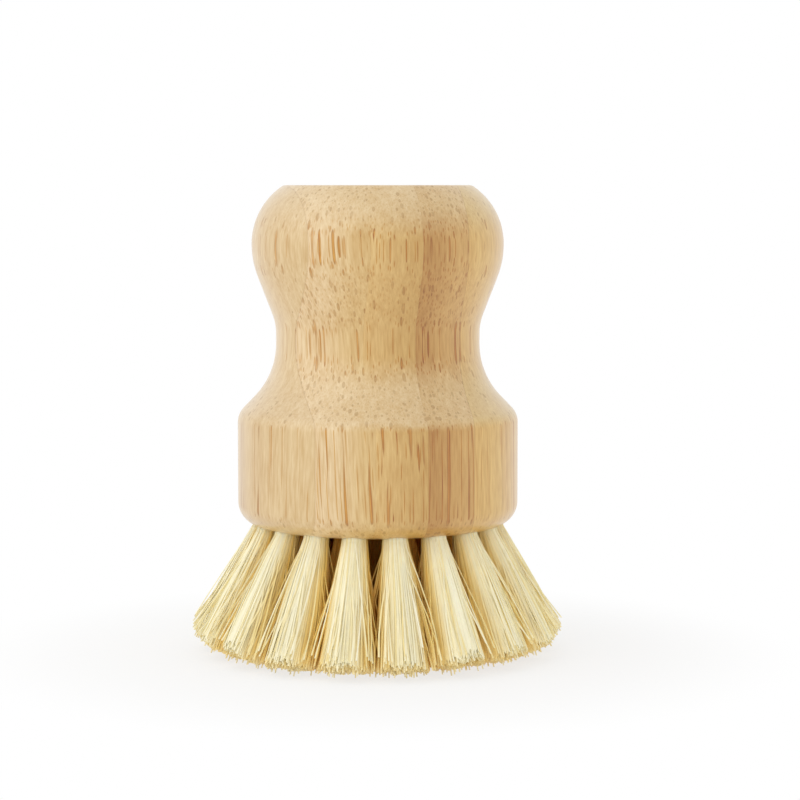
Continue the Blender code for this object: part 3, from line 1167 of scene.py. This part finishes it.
class Fan:
    """How a tuft's unit disc lies at each height, from the bottom face down to the floor."""

    def __init__(self, ring: Ring, sizes: TuftSizes, face_height: float, rng: np.random.Generator) -> None:
        """Works out the fan's two ends, how far it opens and how its tips are bitten off.

        Args:
            ring: The ring the tuft belongs to.
            sizes: The tuft's sizes.
            face_height: The bottom face's height above the floor.
            rng: The tuft's own random numbers.
        """
        self.ring = ring
        self.sizes = sizes
        self.rng = rng
        bites = rng.uniform(0.0, sizes.trim_bite, sizes.trim_bites)
        self.bites = bites + rng.uniform(0.0, sizes.trim_lift)
        self.spread = sizes.spread * rng.normal(1.0, sizes.fan_uneven, 2)
        self.root_height = -sizes.root_proud
        self.floor_height = -face_height
        self.root_centre = np.array([sizes.root_proud * math.tan(ring.tilt), 0.0])
        self.root_half = np.full(2, sizes.root_radius - sizes.fibre_radius)
        middle = (ring.tip_inner + ring.tip_outer) / 2
        reach = (ring.tip_outer - ring.tip_inner - sizes.fan_gap) / 2
        across = reach
        if ring.count > 2:
            sector = math.pi / ring.count
            wall = middle * math.sin(sector) - sizes.fan_gap / 2
            across = math.sqrt(max(0.0, wall**2 - (reach * math.sin(sector)) ** 2)) / math.cos(sector)
        self.floor_centre = np.array([middle - ring.radius, 0.0])
        self.floor_half = np.array([reach, min(reach, across)]) - sizes.fibre_radius

    def place(self, disc: np.ndarray, height: np.ndarray) -> np.ndarray:
        """Where points of the disc lie at their heights.

        Args:
            disc: The points in the unit disc, one a row.
            height: Each point's height in the seat's frame.

        Returns:
            The places in the seat's frame, one a row.
        """
        share = ((self.root_height - height) / (self.root_height - self.floor_height))[:, None]
        share = share + self.sizes.fan_bulge * np.sin(np.pi * share)
        centre = self.root_centre + (self.floor_centre - self.root_centre) * share
        half = self.root_half + (self.floor_half - self.root_half) * share
        return np.column_stack((centre + half * disc, height))

    def opened(self, disc: np.ndarray, share: float) -> np.ndarray:
        """Points of the disc spread as far as the tuft has opened at a share of its length."""
        return disc * (1.0 + (self.spread - 1.0) * max(0.0, share) ** self.sizes.opening)

    def trim_height(self, disc: np.ndarray) -> np.ndarray:
        """Where the shears cut points of the disc.

        Args:
            disc: The points, one a row.

        Returns:
            Their heights: near the floor, with the bites across the tuft, and higher the further out.
        """
        sizes = self.sizes
        foot = self.place(disc, np.full(len(disc), self.floor_height))
        past = np.hypot(self.ring.radius + foot[:, 0], foot[:, 1]) - sizes.trim_flat_radius
        past = np.clip(past, 0.0, sizes.trim_round)
        across = np.linspace(-sizes.trim_width, sizes.trim_width, sizes.trim_bites)
        lift = np.interp(disc[:, 1], across, self.bites)
        return self.floor_height + lift + sizes.trim_round - np.sqrt(sizes.trim_round**2 - past**2)


@dataclass
class Tufts:
    """The 27 tufts, each of fibres folded over its staple's crown and fanned out to the trimmed tips.

    A tuft's number counts the outer ring from the front, then the middle ring, then the centre. Those
    in front_seeds have random numbers of their own, picked so that their tips step as the brush's do.
    """

    sizes: TuftSizes = field(default_factory=TuftSizes)
    hole: Hole = field(default_factory=Hole)
    face_height: float = HandleOutline().face_height
    seed: int = 20
    front_seeds: dict[int, int] = field(
        default_factory=lambda: {
            0: 33, 1: 145, 2: 87, 3: 42, 4: 80, 13: 3, 14: 151, 15: 14, 16: 198, 17: 194,
        }
    )

    def disc(self, count: int, power: float = 0.5) -> np.ndarray:
        """Points spread in the unit disc by the golden angle.

        Args:
            count: How many.
            power: One half spreads them evenly, and less crowds them at the rim.

        Returns:
            The points, one a row.
        """
        index = np.arange(count)
        reach = ((index + 0.5) / count) ** power
        return np.column_stack((reach * np.cos(GOLDEN_ANGLE * index), reach * np.sin(GOLDEN_ANGLE * index)))

    @staticmethod
    def some(rng: np.random.Generator, count: int, share: float, lengths: Pair) -> np.ndarray:
        """A random length for a share of the fibres, and zero for the rest."""
        chosen = rng.random(count) < share
        return np.where(chosen, rng.uniform(*lengths, count), 0.0)

    def leg(self, fan: Fan, root: np.ndarray, locks: np.ndarray) -> np.ndarray:
        """The free length of some fibres, from the root's face down to their tips.

        Args:
            fan: The tuft's fan.
            root: The fibres' places in the unit disc at the root.
            locks: The centres of the locks that fibres draw together into.

        Returns:
            Each fibre's points from root to tip, as (fibre, point, axis).
        """
        sizes, rng = self.sizes, fan.rng
        count = len(root)
        lock = np.linalg.norm(root[:, None] - locks[None], axis=2).argmin(axis=1)
        gather = sizes.gather * rng.uniform(*sizes.gather_range, count)
        tip = root + (locks[lock] - root) * gather[:, None]
        tip = tip * fan.spread + rng.normal(0.0, sizes.tip_jitter, (count, 2))
        stray = rng.random(count) < sizes.stray_share
        wild = rng.normal(0.0, sizes.stray_throw, (count, 2)) * stray[:, None]
        tip += wild
        reach = np.linalg.norm(tip, axis=1)
        limit = np.where(stray, sizes.stray_limit, sizes.tip_limit)
        tip *= np.minimum(1.0, limit / reach)[:, None]
        past = rng.uniform(0.0, sizes.tip_past, count) * np.where(stray, sizes.stray_past, 1.0)
        tip[:, 0] = np.minimum(tip[:, 0], 1.0 + past)
        bend = rng.normal(0.0, sizes.lock_bend, (len(locks), 2))[lock]
        bend = bend + rng.normal(0.0, sizes.bend, (count, 2)) + wild * sizes.stray_bend
        bend[:, 0] = np.minimum(bend[:, 0], sizes.bend_out)
        short = self.some(rng, count, sizes.short_share, sizes.short_range)
        uneven = short + np.abs(rng.normal(0.0, sizes.trim_uneven, count))
        uneven = uneven - self.some(rng, count, sizes.long_share, sizes.long_range)
        end = np.maximum(fan.trim_height(tip) + uneven, fan.floor_height)
        points = []
        for share in sizes.leg_levels:
            bow = 4.0 * share * (1.0 - share)  # 0 at both ends and 1 halfway
            disc = root + (tip - root) * share**sizes.opening + bend * bow
            points.append(fan.place(disc, fan.root_height + (end - fan.root_height) * share))
        return np.stack(points, axis=1)

    def paths(self, fan: Fan) -> np.ndarray:
        """Every fibre's middle line, from one tip over the staple's crown to the other.

        Args:
            fan: The tuft's fan.

        Returns:
            The points in the seat's frame, as (fibre, point, axis).
        """
        sizes, hole, rng = self.sizes, self.hole, fan.rng
        spread = self.disc(2 * sizes.fibres, sizes.outer_crowd)
        outer = spread[spread[:, 0] > 0][: sizes.fibres]
        outer = outer + rng.normal(0.0, sizes.root_jitter[0], outer.shape)
        inner = outer * (-1.0, 1.0) + rng.normal(0.0, sizes.root_jitter[1], outer.shape)
        locks = self.disc(sizes.locks) * sizes.lock_reach
        locks = locks + rng.normal(0.0, sizes.lock_jitter, locks.shape)
        outer_leg = self.leg(fan, outer, locks)
        inner_leg = self.leg(fan, inner, locks)
        least = hole.wire_half_width + hole.wire_clear + sizes.fibre_radius
        half = least + np.clip(outer[:, :1], 0.0, 1.0) * (sizes.root_radius - sizes.fibre_radius - least)
        turns = np.linspace(0.0, math.pi, sizes.fold_levels)
        side = outer[:, 1:] * (hole.wire_half_span - hole.wire_end_clear)
        side = np.repeat(side, sizes.fold_levels, axis=1)
        depth = hole.crown_depth + half * np.sin(turns)
        axes = np.array((fan.ring.outwards, (0.0, 1.0, 0.0), fan.ring.inwards))
        fold = np.stack((half * np.cos(turns), side, depth), axis=2) @ axes
        return np.concatenate((outer_leg[:, ::-1], fold, inner_leg), axis=1)

    def core(self, fan: Fan) -> np.ndarray:
        """The fibres packed in a tuft's middle, as one ridged body from inside the hole to short of the tips.

        Its lower end is hollow, so that the tips inside it stand free.

        Args:
            fan: The tuft's fan.

        Returns:
            The points in the seat's frame, as (level, side, axis).
        """
        sizes, rng = self.sizes, fan.rng
        turns = -np.linspace(0.0, math.tau, sizes.core_sides, endpoint=False)
        reach = sizes.core_share * rng.normal(1.0, sizes.core_uneven, sizes.core_sides)
        disc = np.column_stack((np.cos(turns), np.sin(turns))) * reach[:, None]
        foot = fan.opened(disc, 1.0)
        end = fan.trim_height(foot) + rng.uniform(*sizes.core_short, sizes.core_sides)
        rings = []
        for share in np.linspace(-sizes.core_inset, 1.0, sizes.core_levels):
            height = fan.root_height + (end - fan.root_height) * share
            rings.append(fan.place(fan.opened(disc, share), height))
        rings.append(fan.place(foot * sizes.core_wall, end))
        rings.append(fan.place(foot * sizes.core_wall, end + sizes.core_recess))
        return np.stack(rings)

    def tubes(self, paths: np.ndarray, rng: np.random.Generator) -> np.ndarray:
        """A tube along each middle line, thicker towards its ends, which are cut level.

        Args:
            paths: The middle lines, as (fibre, point, axis).
            rng: The tuft's own random numbers.

        Returns:
            The tubes' corners, as (fibre, point, corner, axis).
        """
        sizes = self.sizes
        count, length, _ = paths.shape
        sides = sizes.fibre_sides
        run = np.gradient(paths, axis=1)
        run /= np.linalg.norm(run, axis=2, keepdims=True)
        first = np.cross(run, (0.0, 1.0, 0.0))
        first /= np.linalg.norm(first, axis=2, keepdims=True)
        second = np.cross(run, first)
        outness = np.abs(np.linspace(-1.0, 1.0, length))
        own = sizes.fibre_radius * np.clip(rng.normal(1.0, sizes.radius_jitter, count), *sizes.radius_range)
        radius = own[:, None] * (1.0 + (sizes.tip_share - 1.0) * outness)
        aim = paths - (paths.mean(axis=0) + paths[:, ::-1].mean(axis=0)) / 2
        facing = np.arctan2((aim * second).sum(axis=2), (aim * first).sum(axis=2))
        start = facing - math.pi / sides + rng.normal(0.0, sizes.twist, count)[:, None]
        turn = start[:, :, None, None] + math.tau * np.arange(sides)[:, None] / sides
        around = np.cos(turn) * first[:, :, None] + np.sin(turn) * second[:, :, None]
        tubes = paths[:, :, None] + radius[:, :, None, None] * around
        for end in (0, -1):
            fall = run[:, end, 2]
            fall = np.copysign(np.maximum(np.abs(fall), sizes.level_cut_fall), fall)
            step = (paths[:, end, None, 2] - tubes[:, end, :, 2]) / fall[:, None]
            tubes[:, end] += run[:, end, None] * step[:, :, None]
        return tubes

    def mesh(self, name: str, fan: Fan, seat: Matrix) -> bpy.types.Mesh:
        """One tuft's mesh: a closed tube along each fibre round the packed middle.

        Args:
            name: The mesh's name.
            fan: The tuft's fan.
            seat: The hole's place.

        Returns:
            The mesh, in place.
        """
        tubes = self.tubes(self.paths(fan), fan.rng)
        core = self.core(fan)
        points = np.concatenate((tubes.reshape(-1, 3), core.reshape(-1, 3)))
        points = points @ np.array(seat.to_3x3()).T + np.array(seat.translation)
        count, length, sides, _ = tubes.shape
        faces: list[tuple[int, ...]] = []
        for fibre in range(count):
            faces += self.tube_faces(fibre * length * sides, length, sides)
        faces += self.tube_faces(count * length * sides, *core.shape[:2])
        mesh = bpy.data.meshes.new(name)
        mesh.from_pydata(points.tolist(), [], faces)
        mesh.update()
        return mesh

    @staticmethod
    def tube_faces(start: int, length: int, sides: int) -> list[tuple[int, ...]]:
        """The faces of a closed tube whose vertices go round it, ring after ring.

        Args:
            start: The number of its first vertex.
            length: How many rings it has.
            sides: How many corners a ring has.

        Returns:
            Each face's vertex numbers, the sides first and then the two ends.
        """
        rings = [range(start + ring * sides, start + (ring + 1) * sides) for ring in range(length)]
        faces: list[tuple[int, ...]] = []
        for low, high in zip(rings, rings[1:]):
            for corner in range(sides):
                after = (corner + 1) % sides
                faces.append((low[corner], low[after], high[after], high[corner]))
        return faces + [tuple(reversed(rings[0])), tuple(rings[-1])]

    def build(self) -> None:
        """Makes and dresses every tuft in place of its CAD node."""
        outer, sizes = RINGS[0], self.sizes
        finish = FibreFinish(
            face_height=self.face_height,
            root_reach=outer.radius + sizes.root_radius,
            tip_reach=outer.tip_outer,
            trim_flat_radius=sizes.trim_flat_radius,
            trim_round=sizes.trim_round,
            tufts=outer.count,
            first_turn=FRONT + outer.phase,
        ).material()
        seats = [
            (f"{ring.name}_{index + 1:02d}", ring, seat)
            for ring in RINGS
            for index, seat in enumerate(ring.seats(self.face_height))
        ]
        for number, (label, ring, seat) in enumerate(seats):
            rng = np.random.default_rng([self.front_seeds.get(number, self.seed), number])
            fan = Fan(ring, sizes, self.face_height, rng)
            name = f"fibres_{label}"
            piece = add_piece(name, self.mesh(name, fan, seat), finish)
            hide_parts(f"tuft_{label}")
            LOG.info("%s: %d faces", name, len(piece.data.polygons))


@dataclass
class Staples:
    """The flat wire staples, which keep their CAD meshes."""

    prefix: str = "staple_"

    def dress(self) -> None:
        """Gives every staple the wire's finish."""
        finish = WireFinish().material()
        for name, node in sorted(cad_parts.items()):
            if name.startswith(self.prefix):
                for holder in node.material_slots:
                    holder.material = finish
                LOG.info("%s: wire finish", name)


@dataclass
class Studio:
    """A pale floor, soft light from the upper left front, and the photograph's camera.

    The top face of the handle is at top_row in the picture. The floor's white covers the shadow by
    shadow_veil up to shadow_inner, and wholly from shadow_outer on. The brush gets bounce_share of
    that white as light.
    """

    image_side: int = 800
    sensor: float = 36.0
    focal_pixels: float = 2515.0
    eye: Triple = (3.8 * MM, -430.0 * MM, 80.0 * MM)
    nearest: float = 10.0 * MM
    top_row: float = 185.0
    floor_radius: float = 2.4
    floor_sides: int = 96
    floor_tone: Colour = tone(246, 246, 245)
    shadow_inner: float = 0.03
    shadow_outer: float = 0.075
    shadow_veil: float = 0.72
    bounce_share: float = 0.85
    ambient: float = 0.775
    key_power: float = 3.63
    key_size: float = 1.3
    key_place: Triple = (-0.76, -0.38, 0.72)
    aim: Triple = (0.0, 0.0, 0.045)

    def camera(self) -> None:
        """Sets the camera at the height of the handle's top face, tipped down to the brush."""
        data = bpy.data.cameras.new("camera")
        data.sensor_width = self.sensor
        data.lens = self.focal_pixels * self.sensor / self.image_side
        data.clip_start = self.nearest
        camera = put("camera", data)
        tip = math.atan((self.image_side / 2 - self.top_row) / self.focal_pixels)
        camera.location = self.eye
        camera.rotation_euler = (QUARTER_TURN - tip, 0.0, 0.0)
        bpy.context.scene.camera = camera

    def key(self) -> None:
        """Adds the one lamp, square and soft, aimed at the brush."""
        data = bpy.data.lights.new("key", "AREA")
        data.size = self.key_size
        data.energy = self.key_power
        lamp = put("key", data)
        lamp.location = self.key_place
        lamp.rotation_euler = (Vector(self.aim) - lamp.location).to_track_quat("-Z", "Y").to_euler()

    def world(self) -> None:
        """An even soft light whose own colour is white where it is seen."""
        recipe = Recipe(bpy.data.worlds.new("studio"), "Background")
        recipe.surface(Color=WHITE, Strength=recipe.seen_directly().between((self.ambient, 1.0)))
        bpy.context.scene.world = recipe.owner

    def floor(self) -> None:
        """A pale floor that keeps the brush's soft shadow and fades to white further off."""
        bm = bmesh.new()
        bmesh.ops.create_circle(bm, cap_ends=True, segments=self.floor_sides, radius=self.floor_radius)
        mesh = to_mesh("floor", bm)
        recipe = Recipe(bpy.data.materials.new("pale_floor"))
        x, y, _ = recipe.parts(recipe.place)
        away = (x * x + y * y).eased(self.shadow_inner**2, self.shadow_outer**2)
        recipe.surface(Base_Color=self.floor_tone, Roughness=0.8, Specular_IOR_Level=0.1)
        white = recipe.node("ShaderNodeEmission", inputs={"Color": WHITE, "Strength": 1.0}).outputs[0]
        bounce = recipe.seen_directly().between((self.bounce_share, 1.0))
        veil = bounce * away.between((self.shadow_veil, 1.0))
        shown = recipe.mixed(veil, recipe.shader.outputs[0], white)
        below = recipe.node("ShaderNodeNewGeometry").outputs["Backfacing"]
        clear = recipe.node("ShaderNodeBsdfTransparent").outputs[0]
        output = recipe.tree.nodes["Material Output"].inputs["Surface"]
        recipe.feed(output, recipe.mixed(below, shown, clear))
        mesh.materials.append(recipe.owner)
        put("floor", mesh)

    def build(self) -> None:
        """Sets up the camera, the light and the floor."""
        self.camera()
        self.world()
        self.key()
        self.floor()
        bpy.context.scene.view_settings.view_transform = "Standard"
        LOG.info("studio: camera, key lamp, world and floor")


def main() -> None:
    """Builds the brush's pieces in order and the studio round them."""
    logging.basicConfig(level=logging.INFO, format="%(name)s %(message)s")
    Studio().build()
    Handle().build()
    Tufts().build()
    Staples().dress()


if __name__ == "__main__":
    main()
